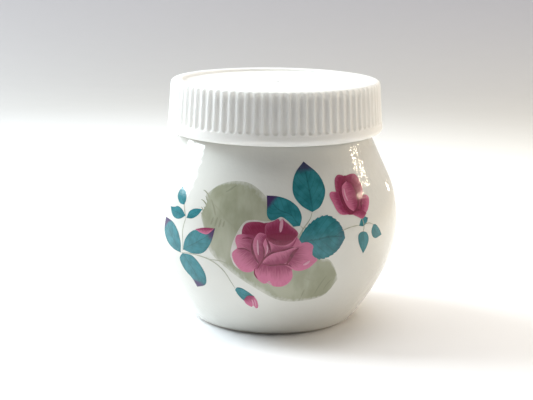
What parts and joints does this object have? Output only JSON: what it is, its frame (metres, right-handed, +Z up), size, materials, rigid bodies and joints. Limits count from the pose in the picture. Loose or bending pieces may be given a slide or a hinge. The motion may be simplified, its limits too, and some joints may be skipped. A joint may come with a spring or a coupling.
{
  "type": "powder jar",
  "caption": "Squat bellied porcelain powder jar with a painted rose, a fluted white screw cap, a sifter dish and a puff.",
  "frame": {"origin": "centre of the foot ring, on the surface the jar stands on", "axes": "+Z up along the jar's axis of turning; the painted front faces -Y; +X to the right seen from the front"},
  "size_m": [0.0776, 0.0776, 0.0744],
  "materials": {
    "glazed_porcelain": "gloss",
    "cap_plastic": "satin",
    "liner_foam": "matte",
    "sifter_plastic": "satin",
    "puff_velour": "matte",
    "puff_filling": "matte",
    "puff_satin": "satin",
    "ribbon_satin": "satin"
  },
  "bodies": {
    "jar": {"jar_body": "glazed_porcelain", "sifter": "sifter_plastic"},
    "liner": {"cap_liner": "liner_foam"},
    "cap": {"screw_cap": "cap_plastic"},
    "puff": {"puff_face": "puff_velour", "puff_core": "puff_filling", "puff_back": "puff_satin", "puff_ribbon": "ribbon_satin"}
  },
  "joints": [
    {"name": "cap_rise", "type": "slide", "parent": "jar", "child": "liner", "axis": [0, 0, 1], "range_m": [0, 0.0212]},
    {"name": "cap_turn", "type": "hinge", "parent": "liner", "child": "cap", "pos_m": [0, 0, 0.0654], "axis": [0, 0, 1], "range_deg": [0, 1800]},
    {"name": "puff_lift", "type": "slide", "parent": "jar", "child": "puff", "axis": [0, 0, 1], "range_m": [0, 0.0107]}
  ],
  "couplings": [
    {"joint": "cap_rise", "follows": "cap_turn", "m_per_rad": 0.00066845},
    {"joint": "puff_lift", "follows": "cap_turn", "m_per_rad": 0.00033423}
  ]
}
